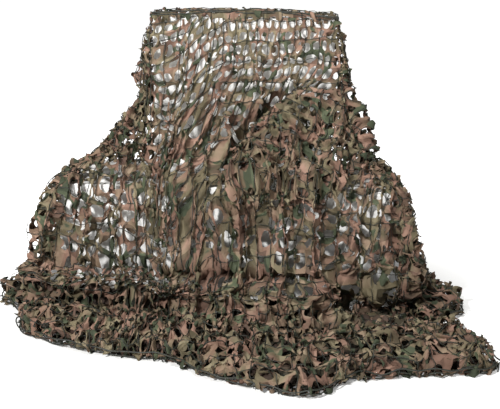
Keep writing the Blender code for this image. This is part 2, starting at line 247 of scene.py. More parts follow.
def draped(turn, level):
    """A point of the cloth before its folds.

    Level 0 is the top edge, 1 the block's edge, 2 the foot where it leaves the block, 3 the nose of
    the outer roll, and 4 the hem.
    """
    turn, level = np.broadcast_arrays(np.asarray(turn, float), np.asarray(level, float))
    top, edge = top_edge(turn), spot(turn, "edge", True)
    foot, nose = spot(turn, "foot"), spot(turn, "nose")
    top_z = BACK_HEIGHT + EDGE_CLEAR + CLOTH
    edge_z = BLOCK_HEIGHT + EDGE_CLEAR + CLOTH
    foot_z = station(turn, "foot_z")

    slope = limited(level)
    rest = 1 - slope
    bend = top + station(turn, "sag")[..., None] * (edge - top)
    xy = (rest**2)[..., None] * top + (2 * slope * rest)[..., None] * bend + (slope**2)[..., None] * edge
    z = rest**2 * top_z + 2 * slope * rest * SAG_HEIGHT + slope**2 * edge_z

    fall = limited(level - 1)
    xy = xy + (1 - (1 - fall) ** 3)[..., None] * (foot - edge)
    z = z + fall * (foot_z - edge_z)

    floor = limited(level - 2)
    xy = xy + np.interp(floor, FLOOR_STEPS, FLOOR_OUT)[..., None] * (nose - foot)
    heights = [foot_z] + [station(turn, name) for name in ("near_z", "dip_z", "far_z")]
    heights += [0.8 * heights[3], np.full_like(z, NOSE_HEIGHT)]
    for start, stop, low, high in zip(FLOOR_STEPS, FLOOR_STEPS[1:], heights, heights[1:]):
        z = z + eased((floor - start) / (stop - start)) * (high - low)

    under = limited(level - 3)
    along = spot(turn + 0.02, "nose") - spot(turn - 0.02, "nose")
    inward = unit(unit(foot - nose) + unit(np.stack([-along[..., 1], along[..., 0]], -1)))
    xy = xy + (under**2 * station(turn, "tuck"))[..., None] * inward
    z = z - NOSE_HEIGHT * limited(3 * under)
    return np.concatenate([xy, z[..., None]], -1)


def front_share(point, level):
    """1 on the front of the drape, above the floor, and 0 elsewhere."""
    return limited((FRONT_FROM_Y - point[..., 1]) / 0.08) * limited(2.2 - level) * limited(level / 0.15)


def folds(turn, level, point):
    """How far the cloth stands out at its pleats and at the creases on its front."""
    wander = WANDER * np.sin(2.1 * level + 1.7 * turn)
    wave = np.sin(2 * np.pi * (station(turn, "pleat") + wander))
    depth = station(turn, "gather") * np.interp(level, PLEAT_LEVELS, PLEAT_DEPTHS)
    out = depth * (wave + PLEAT_LIFT)
    facing = front_share(point, level)
    across = point[..., [0, 2]]
    for x1, z1, x2, z2, width, depth in FRONT_FOLDS:
        start = np.array((x1, z1))
        way = np.array((x2, z2)) - start
        along = limited((across - start) @ way / (way @ way))
        apart = np.linalg.norm(across - start - along[..., None] * way, axis=-1)
        taper = 0.35 + 0.65 * np.sin(np.pi * (0.15 + 0.7 * along))
        out = out + facing * depth * taper * np.exp(-((apart / width) ** 2))
    on_edge = limited(1 - np.abs(level - 1) / EDGE_BAND)
    return np.where(out < 0, out * (1 - on_edge), out)


def outward(turn, level):
    """The direction that the cloth's outer face looks in."""
    step = 0.01
    level = np.clip(level, 0.05, 3.98)
    round_it = draped(turn + step, level) - draped(turn - step, level)
    down = draped(turn, level + step) - draped(turn, level - step)
    return unit(np.cross(down, round_it))


def kept_clear(point, gap=EDGE_CLEAR + CLOTH):
    """Moves a point that a fold has pressed into the stand back to the cloth's clearance."""
    point = point.copy()
    for x, y, wide, deep, high in (
        (0, 0, BLOCK_WIDTH, BLOCK_DEPTH, BLOCK_HEIGHT), (BACK_X, BACK_Y, BACK_WIDTH, BACK_DEPTH, BACK_HEIGHT),
    ):
        past_x = wide / 2 + gap - np.abs(point[..., 0] - x)
        past_y = deep / 2 + gap - np.abs(point[..., 1] - y)
        past_z = high + gap - point[..., 2]
        inside = (past_x > 0) & (past_y > 0) & (past_z > 0)
        least = np.minimum(np.minimum(past_x, past_y), past_z)
        by_x = inside & (least == past_x)
        by_y = inside & (least == past_y) & ~by_x
        by_z = inside & ~by_x & ~by_y
        point[..., 0] += np.where(by_x, np.where(point[..., 0] < x, -1, 1) * past_x, 0)
        point[..., 1] += np.where(by_y, np.where(point[..., 1] < y, -1, 1) * past_y, 0)
        point[..., 2] += np.where(by_z, past_z, 0)
    return point


def cloth_face(turn, level):
    """A point of the cloth's outer face with its folds."""
    base = draped(turn, level)
    out = folds(turn, level, base)
    point = kept_clear(base + out[..., None] * outward(turn, level))
    point[..., 2] = np.maximum(point[..., 2], np.where(level < 3.3, CLOTH, 0))
    return point


# ---------------------------------------------------------------- crumpling


def waves(seed, count, long, short, flat=0.35):
    """Random wave trains: direction, wavelength and phase."""
    rng = np.random.default_rng(seed)
    turn = rng.uniform(0, 2 * np.pi, count)
    rise = rng.uniform(-flat, flat, count)
    way = unit(np.stack([np.cos(turn), np.sin(turn), rise], -1))
    length = np.exp(rng.uniform(np.log(short), np.log(long), count))
    return way, length, rng.uniform(0, 2 * np.pi, count)


def crumple(point, normal, trains, roll):
    """Sum of wave trains: out of the surface, and along it so that crests lean over their troughs."""
    way, length, phase = trains
    moved = np.zeros_like(point)
    for d, size, start in zip(way, length, phase):
        angle = 2 * np.pi * (point @ d) / size + start
        flat_way = d - (normal @ d)[..., None] * normal
        moved += size * (np.sin(angle)[..., None] * normal + roll * np.cos(angle)[..., None] * flat_way)
    return moved / np.sqrt(len(length))


def smooth_noise(point, seed, size):
    """Smooth values around 0, about -1 to 1."""
    trains = waves(seed, 9, 1.6 * size, 0.7 * size, flat=1.0)
    return sum(np.sin(2 * np.pi * (point @ d) / s + p) for d, s, p in zip(*trains)) / 3.0


SLOPE_WAVES = waves(11, 10, 0.16, 0.07, flat=0.25)
FINE_WAVES = waves(12, 14, 0.075, 0.04, flat=0.8)
FLOOR_WAVES = waves(13, 16, 0.20, 0.07, flat=0.3)


def crease_way(x, z):
    """How far along the long crease on the front a point is, from its low end, and how far right of it."""
    way = CREASE_HIGH - CREASE_LOW
    length = np.hypot(*way)
    x, z = x - CREASE_LOW[0], z - CREASE_LOW[1]
    along = (x * way[0] + z * way[1]) / length
    right = (x * way[1] - z * way[0]) / length
    return along / length, right + 0.035 * np.sin(np.pi * limited(along / length))


def hollowed(base, turn, level):
    """The cloth hangs over a hollow in front of the block's right half."""
    part = between(turn, 1.02, 1.56, 0.10)[..., None]
    away = unit(spot(turn, "nose") - spot(turn, "foot"))
    base = base.copy()
    base[..., :2] += part * np.interp(level, HOLLOW_LEVELS, HOLLOW_OUT)[..., None] * away
    base[..., 2] += part[..., 0] * np.interp(level, HOLLOW_LEVELS, HOLLOW_DOWN)
    return base


def surveyed(turn, level):
    """The cloth's face at turns and levels, with shares from 0 to 1 that say which part a point is on."""
    base = hollowed(cloth_face(turn, level), turn, level)
    at = SimpleNamespace(turn=turn, level=level, base=base, x=base[..., 0], z=base[..., 2])
    at.normal = outward(turn, level)
    at.ring = unit(np.gradient(base, axis=1))
    at.front = front_share(base, level)
    at.face = between(turn, -1.40, 1.40, 0.12)
    at.centre = between(turn, -0.40, 0.85, 0.35)
    at.floor = eased((level - 1.85 - 0.40 * at.centre) / 0.4)
    at.fallen = eased((level - 0.2) / 0.8) * (1 - at.floor)
    at.along, at.right = crease_way(at.x, at.z)
    # the net lies double right of the long crease, and its cuts are pulled shut left of it
    at.twice = between(at.right, 0.02, 0.35, 0.03) * between(at.z, 0.44, 0.74, 0.06)
    at.twice = at.twice * limited((FRONT_FROM_Y + 0.05 - base[..., 1]) / 0.05) * limited(2.2 - level)
    at.shut = at.front * between(at.right, -0.22, 0.01, 0.08) * between(at.along, -0.10, 0.80, 0.15)
    # over the hollow at the front right, and in it
    at.hollow = between(turn, 1.0, 1.6, 0.1) * between(level, 1.6, 2.4, 0.15)
    at.inside = between(turn, 0.75, 1.65, 0.12) * between(level, 1.98, 2.50, 0.08)
    return at


def gathered(at):
    """Cloth in each length of the drape, round it and down it: 1 is smooth, and more is bunched."""
    turn, level = at.turn, at.level
    across = 0.40 + 0.65 * between(turn, -1.4, -0.45, 0.25) + 0.70 * bump(turn, 0.10, 0.65)
    across = across + 0.50 * between(turn, 0.50, 1.30, 0.25) * between(level, 1.0, 1.9, 0.2)
    across = across * (1 - 0.8 * eased((level - 1.40) / 0.45) * (1 - at.centre))
    across = 1.02 + at.fallen * across * at.face
    across = across + 0.35 * between(turn, -0.75, 0.1, 0.25) * between(level, 0.3, 0.9, 0.2) * at.front
    across = across + 0.30 * (1 - at.front) * limited(level / 0.3) * (1 - at.floor)
    across = across + 0.02 * at.floor
    down = 1.05 - 0.03 * at.floor - 0.24 * at.fallen * at.face * between(level, 0.95, 1.75, 0.25)
    return across, down


def ends(down, right):
    """Where the two ends of the edges lie that run this far down and right on a grid."""
    if right < 0:
        return np.s_[:-down, -right:], np.s_[down:, :right]
    return np.s_[:-down or None, :-right or None], np.s_[down:, right:]


def interpolation(count, picked):
    """A matrix that takes values at the picked of count places to all of them."""
    return np.stack([np.interp(np.arange(count), picked, row) for row in np.eye(len(picked))], -1)


def turned_by(cosine, sine, way):
    """A vector turned by the angle with this cosine and sine."""
    x, y = way[..., 0], way[..., 1]
    return np.stack([cosine * x - sine * y, sine * x + cosine * y], -1)


def flattened(base, across_share, down_share, added, start):
    """Lays a surface out flat, near to start, with as little stretch and shear as can be.

    A length along the rings takes across_share times its size of cloth, one down the slope down_share
    times; added is the shift of the threads that is wanted besides. It is worked out on every fourth
    row and column, each point going to where its neighbours want it, turned with the cloth there.
    """
    rows, columns = (
        np.unique(np.linspace(0, count - 1, count // FLAT_STEP).astype(int)) for count in base.shape[:2]
    )
    few = np.ix_(rows, columns)
    base, across_share, down_share, added, coarse = (
        base[few], across_share[few], down_share[few], added[few], start[few],
    )
    ring = unit(np.gradient(base, axis=1))
    fall = np.gradient(base, axis=0)
    fall = unit(fall - np.sum(fall * ring, axis=-1, keepdims=True) * ring)
    kinds = []
    for down, right in ((0, 1), (1, 0), (1, 1), (1, -1)):
        one, two = ends(down, right)
        edge = base[two] - base[one]
        u = np.sum(edge * (ring[one] + ring[two]), axis=-1) / 2 * (across_share[one] + across_share[two]) / 2
        v = np.sum(edge * (fall[one] + fall[two]), axis=-1) / 2 * (down_share[one] + down_share[two]) / 2
        wanted = np.stack([u, -v], -1) + added[two] - added[one]
        kinds.append((one, two, wanted, 1 / np.maximum(np.linalg.norm(wanted, axis=-1), 0.002)))
    place = before = coarse
    for _ in range(FLAT_ROUNDS):
        cross, dot = np.zeros(place.shape[:2]), np.full(place.shape[:2], 1e-9)
        for one, two, wanted, weight in kinds:
            now = place[two] - place[one]
            turned = weight * (wanted[..., 0] * now[..., 1] - wanted[..., 1] * now[..., 0])
            kept = weight * np.sum(wanted * now, axis=-1)
            for end in (one, two):
                cross[end] += turned
                dot[end] += kept
        angle = FLAT_TURN * np.arctan2(cross, dot)
        cosine, sine = np.cos(angle), np.sin(angle)
        total, load = np.zeros(place.shape), np.zeros(place.shape[:2])
        for one, two, wanted, weight in kinds:
            turned = turned_by((cosine[one] + cosine[two]) / 2, (sine[one] + sine[two]) / 2, wanted)
            total[one] += weight[..., None] * (place[two] - turned)
            total[two] += weight[..., None] * (place[one] + turned)
            load[one] += weight
            load[two] += weight
        place, before = total / load[..., None] + FLAT_SPEED * (place - before), place
    place = place - (place - coarse).mean(axis=(0, 1))
    down, right = interpolation(start.shape[0], rows), interpolation(start.shape[1], columns)
    return np.einsum("ab,bcd,ec->aed", down, place, right, optimize=True)


def place_on_sheet(at, across_share, down_share, middle, slant):
    """The place of each point of the drape on the flat sheet, whose threads lean by the slant."""
    step = np.zeros_like(at.turn)
    step[:, 1:] = np.linalg.norm(np.diff(at.base, axis=1), axis=-1)
    step[:, 1:] *= (across_share[:, 1:] + across_share[:, :-1]) / 2
    across = np.cumsum(step, axis=1)
    across = across - across[:, np.argmin(np.abs(at.turn[0] - middle))][:, None]
    fall = np.diff(at.base, axis=0)
    along = np.sum(fall * at.ring[:-1], axis=-1)
    fall = np.sqrt(np.maximum(np.sum(fall**2, axis=-1) - along**2, 1e-10))
    down = np.zeros_like(at.turn)
    down[1:] = np.cumsum(fall * (down_share[1:] + down_share[:-1]) / 2, axis=0)
    added = np.zeros(at.turn.shape + (2,))
    if slant:
        lean = slant * between(at.level, 0.30, 0.95, 0.2) * eased((at.turn + 1.2) / 0.9)
        added[1:, :, 0] = np.cumsum(np.diff(down, axis=0) * lean[1:], axis=0)
        added[..., 1] = 0.17 * eased((-0.02 - at.x) / 0.24) * limited((2.3 - at.level) / 0.3)
    return flattened(at.base, across_share, down_share, added, np.stack([across, -down], -1) + added)


def creased(at, flat, across_share):
    """How far the sheet's folds and crumples move each point off the smooth drape."""
    level, front, floor, normal = at.level, at.front, at.floor, at.normal
    # folds along the threads, deeper where more cloth is gathered
    wander = 0.5 * smooth_noise(np.stack([flat[..., 0], -flat[..., 1], 0 * level], -1), 5, 0.45)
    angle = 2 * np.pi * (flat[..., 0] / THREAD_FOLD + wander)
    amount = 0.0025 + 0.0155 * limited(across_share - 1.0) * (1 - 0.8 * floor)
    amount = amount * limited(level / 0.25) * limited((3.0 - level) / 0.3)
    shift = (np.sin(angle) + 0.4)[..., None] * normal + 0.6 * np.cos(angle)[..., None] * at.ring
    shift = amount[..., None] * shift
    # crumples on the slope, on the floor and all over
    for part, trains, roll in (
        ((0.09 + 0.06 * (1 - front)) * limited(level / 0.3) * (1 - floor), SLOPE_WAVES, 0.7),
        (0.072 * floor * limited((3.15 - level) / 0.3), FLOOR_WAVES, 0.9),
        ((0.05 + 0.06 * floor) * limited(level / 0.2), FINE_WAVES, 0.5),
    ):
        shift = shift + part[..., None] * crumple(at.base, normal, trains, roll)
    # the long crease with the fold right of it, which leans to the left
    near = front * between(at.along, 0.0, 0.95, 0.22)
    out = near * (-0.055 * bump(at.right, -0.008, 0.042) + 0.024 * bump(at.right, 0.050, 0.055))
    shift = shift + out[..., None] * normal
    shift[..., 0] += -0.032 * near * bump(at.right, 0.045, 0.06)
    # the sides stand out under the top and are drawn in below it
    behind = between(at.turn, 2.85, 5.55, 0.25)
    drawn_in = 0.030 * between(at.z, 0.12, 0.74, 0.06) * (1 - behind)
    sides = (1 - front) * (0.014 * between(at.z, 0.80, 0.96, 0.06) - drawn_in)
    return shift + sides[..., None] * normal


def lean_rolls(at, point):
    """Moves the rolls on the floor out over the hollow in front of them, and sets their heights."""
    turn, level = at.turn, at.level
    away = at.normal[..., :2] / np.maximum(np.linalg.norm(at.normal[..., :2], axis=-1, keepdims=True), 0.2)
    near = between(level, 2.14, 2.36, 0.12) * limited((at.z - 0.05) / 0.08)
    left_roll = between(turn, -1.45, -0.1, 0.25)
    point[..., :2] += ((0.030 + 0.020 * left_roll) * near * (1 - at.centre))[..., None] * away
    apron = np.interp(level, APRON_LEVELS, APRON_OUT) * between(turn, -1.45, 0.80, 0.2)
    apron = apron * (0.35 + 0.65 * between(turn, -0.60, 0.80, 0.3))
    point[..., :2] += apron[..., None] * away
    point[..., 2] += 0.024 * near * bump(turn, -0.95, 0.35)
    point[..., 2] -= 0.030 * between(level, 2.38, 2.46, 0.08) * between(turn, -1.45, 0.9, 0.2)
    point[..., 2] -= 0.022 * between(level, 2.16, 2.28, 0.10) * at.centre


def opened_by(at):
    """How open the cuts are at each point, and how rough the cloth lies there."""
    x, z, level, face, floor = at.x, at.z, at.level, at.face, at.floor
    opened = 0.52 + 0.42 * limited((z - 0.70) / 0.10) * at.front
    opened = opened - 0.08 * face * between(z, 0.05, 0.46, 0.1) * limited((x - 0.25) / 0.1)
    opened = opened + 0.26 * face * between(x, -0.46, -0.22, 0.08) * between(z, 0.22, 0.46, 0.08)
    opened = opened - 0.10 * at.hollow - 0.05 * at.inside
    opened = opened - 0.25 * at.centre * between(level, 1.85, 2.35, 0.2)
    opened = opened - 0.26 * face * between(x, -0.16, 0.16, 0.08) * between(z, 0.1, 0.46, 0.08)
    opened = opened - 0.46 * at.shut
    opened = opened + 0.20 * floor * (1 - at.hollow)
    opened = opened + 0.12 * smooth_noise(at.base, 7, 0.3)
    opened = opened * (1 - 0.85 * at.twice)
    rough = 0.25 + 0.75 * limited((0.80 - z) / 0.18) * limited(level / 0.3)
    rough = rough * (1 + 0.20 * floor) * (1 - 0.45 * at.shut) * (1 + 0.9 * np.maximum(at.inside, at.hollow))
    return opened, rough * (1 - 0.45 * at.centre * between(level, 1.7, 2.3, 0.2))


def chart(turns, levels, middle, lift=0.0, slant=0.0, spin=0.0, over=False, hidden=False):
    """One part of the drape as a grid: its points, the place of each on the flat sheet, and how open it is.

    lift moves the layer out of the drape (or in, below 0), slant leans the sheet's threads, and spin
    turns the whole sheet. With over, only the doubled part right of the long crease is kept. A hidden
    part is more of the same net, bunched under the outer roll, uncut and with painted shade: its colour is
    drawn darker for the shade inside the bunch.
    """
    at = surveyed(*np.meshgrid(turns, levels))
    level, normal = at.level, at.normal
    across_share, down_share = gathered(at)
    place = place_on_sheet(at, across_share, down_share, middle, slant)
    if over:
        lift = lift * eased(at.twice / 0.25)
    point = at.base + creased(at, place, across_share) + (lift * np.ones_like(level))[..., None] * normal
    if not hidden:  # where it touches the stand it isn't pressed far in
        pressed = np.sum((point - at.base) * normal, axis=-1)
        touching = np.maximum(between(level, 0.9, 2.15, 0.35), level < 0.12)
        least = np.where(level < 0.12, -0.001, -0.001 - 0.026 * (1 - at.front))
        point = point + (touching * np.maximum(least - pressed, 0))[..., None] * normal
    lean_rolls(at, point)
    if hidden:  # under the hollow at the front right it lies flat
        low = between(at.turn, 0.85, 1.95, 0.15)
        point[..., 2] = point[..., 2] * (1 - low) + np.minimum(point[..., 2], HIDDEN_HEIGHT) * low
    point = kept_clear(point, STAND_GAP)
    point[..., 2] = np.maximum(point[..., 2], FLOOR_LEAST)

    opened, rough = opened_by(at)
    if over or hidden:
        opened = np.full_like(opened, UNCUT if hidden else HOOD_OPENED)
    if spin:
        place = place @ np.array([[np.cos(spin), np.sin(spin)], [-np.sin(spin), np.cos(spin)]])
    kept = at.twice > 0.02 if over else np.ones(level.shape, bool)
    # the fifth value marks the hidden layers, whose colour gets painted shade
    return point, place, opened, rough, np.full(level.shape, float(hidden)), kept


def top_cap():
    """The cloth on the top of the back board, bent down a little over its four edges."""
    half_x, half_y, bent = BACK_WIDTH / 2 + 0.006, BACK_DEPTH / 2 + 0.006, 0.03
    u, v = np.meshgrid(
        np.linspace(-half_x - bent, half_x + bent, 130), np.linspace(half_y + bent, -half_y - bent, 30)
    )
    over = np.maximum(np.abs(u) - half_x, 0) + np.maximum(np.abs(v) - half_y, 0)
    hump = HUMP * np.cos(np.clip(u / half_x, -1, 1) * np.pi / 2) * limited(1 - over / 0.02)
    point = np.stack([
        BACK_X + np.clip(u, -half_x, half_x), BACK_Y + np.clip(v, -half_y, half_y),
        BACK_HEIGHT + EDGE_CLEAR + 0.008 - over + hump,
    ], -1)
    point = point + 0.06 * crumple(point, np.broadcast_to((0.0, 0.0, 1.0), point.shape), FINE_WAVES, 0.3)
    point[..., 2] = np.maximum(point[..., 2], BACK_HEIGHT + 0.003 - over)
    opened, rough, buried = (np.full(u.shape, value) for value in (0.4, 0.3, 0.0))
    return point, np.stack([u, v], -1), opened, rough, buried, np.ones(u.shape, bool)


# ---------------------------------------------------------------- meshes


def mesh_of(name, points, edges, faces):
    mesh = bpy.data.meshes.new(name)
    mesh.from_pydata([tuple(point) for point in points], edges, faces)
    return mesh


def add_object(name, mesh, collection=None):
    """An object with this mesh, in the scene or in a collection that others are drawn from."""
    thing = bpy.data.objects.new(name, mesh)
    (collection or bpy.context.scene.collection).objects.link(thing)
    return thing


def store(mesh, name, kind, values):
    """Keeps a value, or a vector, for each point of a mesh."""
    made = mesh.attributes.new(name, kind, "POINT")
    made.data.foreach_set("value" if kind == "FLOAT" else "vector", np.asarray(values, np.float32).ravel())


def grid_faces(rows, columns):
    """Corners of the faces of a grid of points, as arrays of one row and one column less."""
    index = np.arange(rows * columns).reshape(rows, columns)
    return index[:-1, :-1], index[1:, :-1], index[1:, 1:], index[:-1, 1:]


def add_drape(name, charts):
    """All charts as one mesh, with their places on the flat sheet side by side."""
    points, places, faces, traits = [], [], [], []
    offset, start = 0.0, 0
    for point, place, opened, rough, buried, kept in charts:
        place = place.copy()
        place[..., 0] += offset - place[..., 0].min()
        place[..., 1] -= place[..., 1].max()
        offset = place[..., 0].max() + FLAT_APART
        points.append(point.reshape(-1, 3))
        places.append(place.reshape(-1, 2))
        traits.append(np.stack([opened, rough, buried], -1).reshape(-1, 3))
        corners = grid_faces(*opened.shape)
        whole = np.all([kept.ravel()[corner] for corner in corners], axis=0)
        faces.append(start + np.stack(corners, -1)[whole])
        start += opened.size
    points, places, faces, traits = (np.concatenate(part) for part in (points, places, faces, traits))
    mesh = bpy.data.meshes.new(name)
    mesh.vertices.add(len(points))
    mesh.vertices.foreach_set("co", points.astype(np.float32).ravel())
    mesh.loops.add(faces.size)
    mesh.loops.foreach_set("vertex_index", faces.ravel().astype(np.int32))
    mesh.polygons.add(len(faces))
    mesh.polygons.foreach_set("loop_start", np.arange(0, faces.size, 4, dtype=np.int32))
    mesh.update(calc_edges=True)
    store(mesh, "flat", "FLOAT_VECTOR", np.c_[places / SHEET_SPAN, np.zeros(len(places))])
    store(mesh, "traits", "FLOAT_VECTOR", traits)
    return add_object(name, mesh), places.min(axis=0), places.max(axis=0)


def cell_edge():
    """Points round one cell of the cut, anticlockwise from the middle of its right side."""
    side = np.linspace(-0.5, 0.5, RIM // 4 + 1)[:-1]
    one = np.full_like(side, 0.5)
    corners = [np.stack(pair, -1) for pair in ((one, side), (-side, one), (-one, -side), (side, -one))]
    return np.concatenate(corners) * (HOLE_ACROSS, HOLE_DOWN)


def leaf_cut(seed, share):
    """One cell: the cloth round a hole, and the leaf that was cut free and curls out of it or into it.

    share is how open it is, from 0 to 1.
    """
    rng = np.random.default_rng(seed)

    def by_share(*values):
        return np.interp(share, (0, 0.4, 1), values)

    edge = cell_edge()
    around = np.arctan2(edge[:, 1] / HOLE_DOWN, edge[:, 0] / HOLE_ACROSS)
    wide = HOLE_ACROSS * by_share(0.28, 0.37, 0.435) * rng.uniform(0.90, 1.03)
    tall = HOLE_DOWN * by_share(0.30, 0.37, 0.425) * rng.uniform(0.90, 1.03)
    a, b, c = rng.uniform(0, 2 * np.pi, 3)
    size = 1 + 0.05 * np.sin(2 * around + a) + 0.07 * np.sin(3 * around + b) + 0.05 * np.sin(5 * around + c)
    rim = np.stack([wide * np.cos(around), tall * np.sin(around)], -1) * size[:, None]
    a, b = rng.uniform(0, 2 * np.pi, 2)
    lift = 0.0030 * np.sin(around + a) + 0.0036 * np.sin(2 * around + b)

    hinge = rng.choice((0.5, -0.5, 0.0, 0.0, 1.0, 1.0)) * np.pi + rng.uniform(-0.5, 0.5)
    inward = -np.array([np.cos(hinge), np.sin(hinge)])
    aside = np.array([-inward[1], inward[0]])
    start = np.array([wide * np.cos(hinge), tall * np.sin(hinge)])
    breadth = np.hypot(wide * np.sin(hinge), tall * np.cos(hinge)) * rng.uniform(0.55, 0.85)
    start = start + aside * breadth * rng.uniform(-0.25, 0.25)
    length = 2 * np.hypot(wide * np.cos(hinge), tall * np.sin(hinge)) * rng.uniform(0.60, 0.92)
    side = -1 if rng.random() < 0.50 else 1  # -1: it bends in, behind the cloth
    if rng.random() < 0.50:  # rolled up tight
        open_by = np.radians(by_share(10, 45, 60) * rng.uniform(0.8, 1.2))
        curl = np.radians(by_share(60, 180, 260) * rng.uniform(0.8, 1.2))
        length *= 0.85
    else:
        open_by = np.radians(by_share(5, 25, 55) * rng.uniform(0.7, 1.3))
        curl = np.radians(by_share(15, 55, 85) * rng.uniform(0.6, 1.3))
    rows, columns = np.linspace(0, 1, 6), np.linspace(-1, 1, 5)
    bend = open_by + curl * rows
    bend = (bend[1:] + bend[:-1]) / 2
    ahead = np.concatenate([[0], np.cumsum(np.diff(rows) * np.cos(bend))])
    above = np.concatenate([[0], np.cumsum(np.diff(rows) * np.sin(bend))])
    along = 0.13 + 0.86 * rows
    chord = breadth * (1 - np.abs(2 * along - 1) ** 2.2) ** 0.5
    if rng.random() < 0.5:
        chord = chord * (1 - 0.6 * rows**3)
    cup = rng.uniform(-0.004, 0.005)
    twist = rng.uniform(-0.35, 0.35)
    across = columns[None, :] * chord[:, None]
    reach = length * ahead[:, None] + twist * across * rows[:, None]
    leaf_flat = start + inward * reach[..., None] + aside * across[..., None]
    leaf_up = 0.001 + length * above[:, None] + cup * columns[None, :] ** 2
    leaf_up = side * (leaf_up + rng.uniform(-0.4, 0.4) * across * rows[:, None])
    leaf_cut_at = start + inward * (length * rows[:, None, None]) + aside * across[..., None]
    turned = float(open_by + 0.5 * curl > np.radians(75))
    return edge, rim, lift, leaf_flat, leaf_up, leaf_cut_at, turned


def add_leaf_cuts():
    """Two collections with the same cells, from shut to open: the cloth round the holes, and the leaves."""
    cloth, leaves = (bpy.data.collections.new(name) for name in ("cut_cloth", "cut_leaves"))
    ring = [(i, (i + 1) % RIM, RIM + (i + 1) % RIM, RIM + i) for i in range(RIM)]
    for k in range(VARIANTS):
        edge, rim, lift, leaf_flat, leaf_up, leaf_at, turned = leaf_cut(100 + k, k / (VARIANTS - 1))
        points = np.concatenate([np.c_[edge, np.zeros(RIM)], np.c_[rim, lift]])
        # the first cell is uncut cloth, for the hidden layers
        faces = ring + ([tuple(range(RIM, 2 * RIM))] if k == 0 else [])
        a, b, c, d = grid_faces(*leaf_up.shape)
        leaf = np.c_[leaf_flat.reshape(-1, 2), leaf_up.ravel()]
        leaf_faces = np.stack([a, d, c, b], -1).reshape(-1, 4).tolist()
        for name, at, cut_at, corners, side, collection in (
            (f"cell_{k:02d}", points, points[:, :2], faces, 0.0, cloth),
            (f"leaf_{k:02d}", leaf, leaf_at.reshape(-1, 2), leaf_faces, turned, leaves),
        ):
            mesh = mesh_of(name, at, [], corners)
            store(mesh, "cut", "FLOAT_VECTOR", np.c_[cut_at, np.zeros(len(cut_at))])
            store(mesh, "turned", "FLOAT", np.full(len(at), side))
            add_object(name, mesh, collection)
    return cloth, leaves


def tube(points, faces, path, radii):
    """Adds a three-sided tube along a path to the points and faces."""
    start = len(points)
    for n, (at, radius) in enumerate(zip(path, radii)):
        way = unit(path[min(n + 1, len(path) - 1)] - path[max(n - 1, 0)])
        side = unit(np.cross(way, (0.3, 0.5, 0.8)))
        other = np.cross(way, side)
        for angle in (0, 2.094, 4.189):
            points.append(at + radius * (np.cos(angle) * side + np.sin(angle) * other))
    for n in range(len(path) - 1):
        for m in range(3):
            a, b = start + 3 * n + m, start + 3 * n + (m + 1) % 3
            faces.append((a, b, b + 3, a + 3))


KNOT_PATH = np.array([(-0.0052, 0, 0), (-0.003, 0.0006, 0), (0, 0, 0.0006), (0.003, 0, 0), (0.0052, 0, 0)])


def add_knots():
    """A few knots: a squashed ball of cord with its two short ends."""
    knots = bpy.data.collections.new("cord_knots")
    for k in range(6):
        rng = np.random.default_rng(300 + k)
        points, faces = [], []
        tube(points, faces, KNOT_PATH, (0.0006, 0.0034, 0.0042, 0.0034, 0.0006))
        for _ in range(2):
            way, bend = unit(rng.normal(size=3)), unit(rng.normal(size=3))
            length = rng.uniform(0.006, 0.014)
            path = np.array([way * length * t + bend * 0.35 * length * t * t for t in (0, 0.5, 1.0)])
            tube(points, faces, path, (0.0014, 0.0013, 0.0009))
        add_object(f"knot_{k}", mesh_of(f"knot_{k}", points, [], faces), knots)
    return knots


def border_paths():
    """The border cord at the hem, cords on the top edges of the back board, and loose ends at the hem."""
    rng = np.random.default_rng(21)
    paths = []
    turns = turns_between(-1.0, 7.4, 0.010)
    for level, out in ((3.05, 0.004), (3.22, 0.001)):
        point = cloth_face(turns, np.full_like(turns, level))
        wave = smooth_noise(point, int(10 * level), 0.12)
        point = point + (out + 0.006 * wave)[:, None] * outward(turns, np.full_like(turns, 2.9)) * (1, 1, 0)
        point[:, 2] = np.maximum(point[:, 2] + 0.006 * smooth_noise(point, 33, 0.10), 0.0035)
        paths.append(point)
    across = np.linspace(-BACK_WIDTH / 2 - 0.008, BACK_WIDTH / 2 + 0.008, 90)
    hump = HUMP * np.cos(np.clip(across / (BACK_WIDTH / 2), -1, 1) * np.pi / 2)
    for y, rise, seed in ((-0.058, 0.008, 41), (-0.052, 0.014, 42), (0.054, 0.010, 43)):
        point = np.stack([BACK_X + across, np.full_like(across, BACK_Y + y), BACK_HEIGHT + rise + hump], -1)
        paths.append(point + 0.004 * np.stack([smooth_noise(point, seed + k, 0.10) for k in range(3)], -1))
    for turn in (1.43, 1.45, 1.47, 1.40, 6.62, 2.05, 4.5):
        start = cloth_face(np.array(turn), np.array(3.0))
        away = outward(np.array(turn), np.array(2.9)) * (1, 1, 0)
        away = unit(away + 0.6 * rng.normal(size=3) * (1, 1, 0))
        aside = np.array((-away[1], away[0], 0))
        t = np.linspace(0, 1, 9)[:, None]
        length, curl = rng.uniform(0.020, 0.045), rng.uniform(-0.02, 0.02)
        path = start + (length * t - 0.01) * away + curl * t**2 * aside
        path[:, 2] = np.maximum(0.012 + rng.uniform(0.0, 0.03) * np.sin(np.pi * t[:, 0]), FLOOR_LEAST)
        paths.append(path)
    last = np.cumsum([len(path) for path in paths])
    edges = [(k, k + 1) for k in range(last[-1] - 1) if k + 1 not in last]
    return add_object("border_paths", mesh_of("border_paths", np.concatenate(paths), edges, []))


# ---------------------------------------------------------------- nodes


def tint(code):
    """An sRGB hex colour as linear red, green, blue."""
    parts = [int(code[k : k + 2], 16) / 255 for k in (1, 3, 5)]
    return tuple(p / 12.92 if p <= 0.04045 else ((p + 0.055) / 1.055) ** 2.4 for p in parts) + (1.0,)


def wire(node, inputs):
    """Sets a node's inputs to values, or links them to sockets or to the first output of other nodes."""
    for name, value in inputs.items():
        if isinstance(value, bpy.types.Node):
            value = value.outputs[0]
        if isinstance(value, bpy.types.NodeSocket):
            node.id_data.links.new(value, node.inputs[name])
        else:
            node.inputs[name].default_value = value


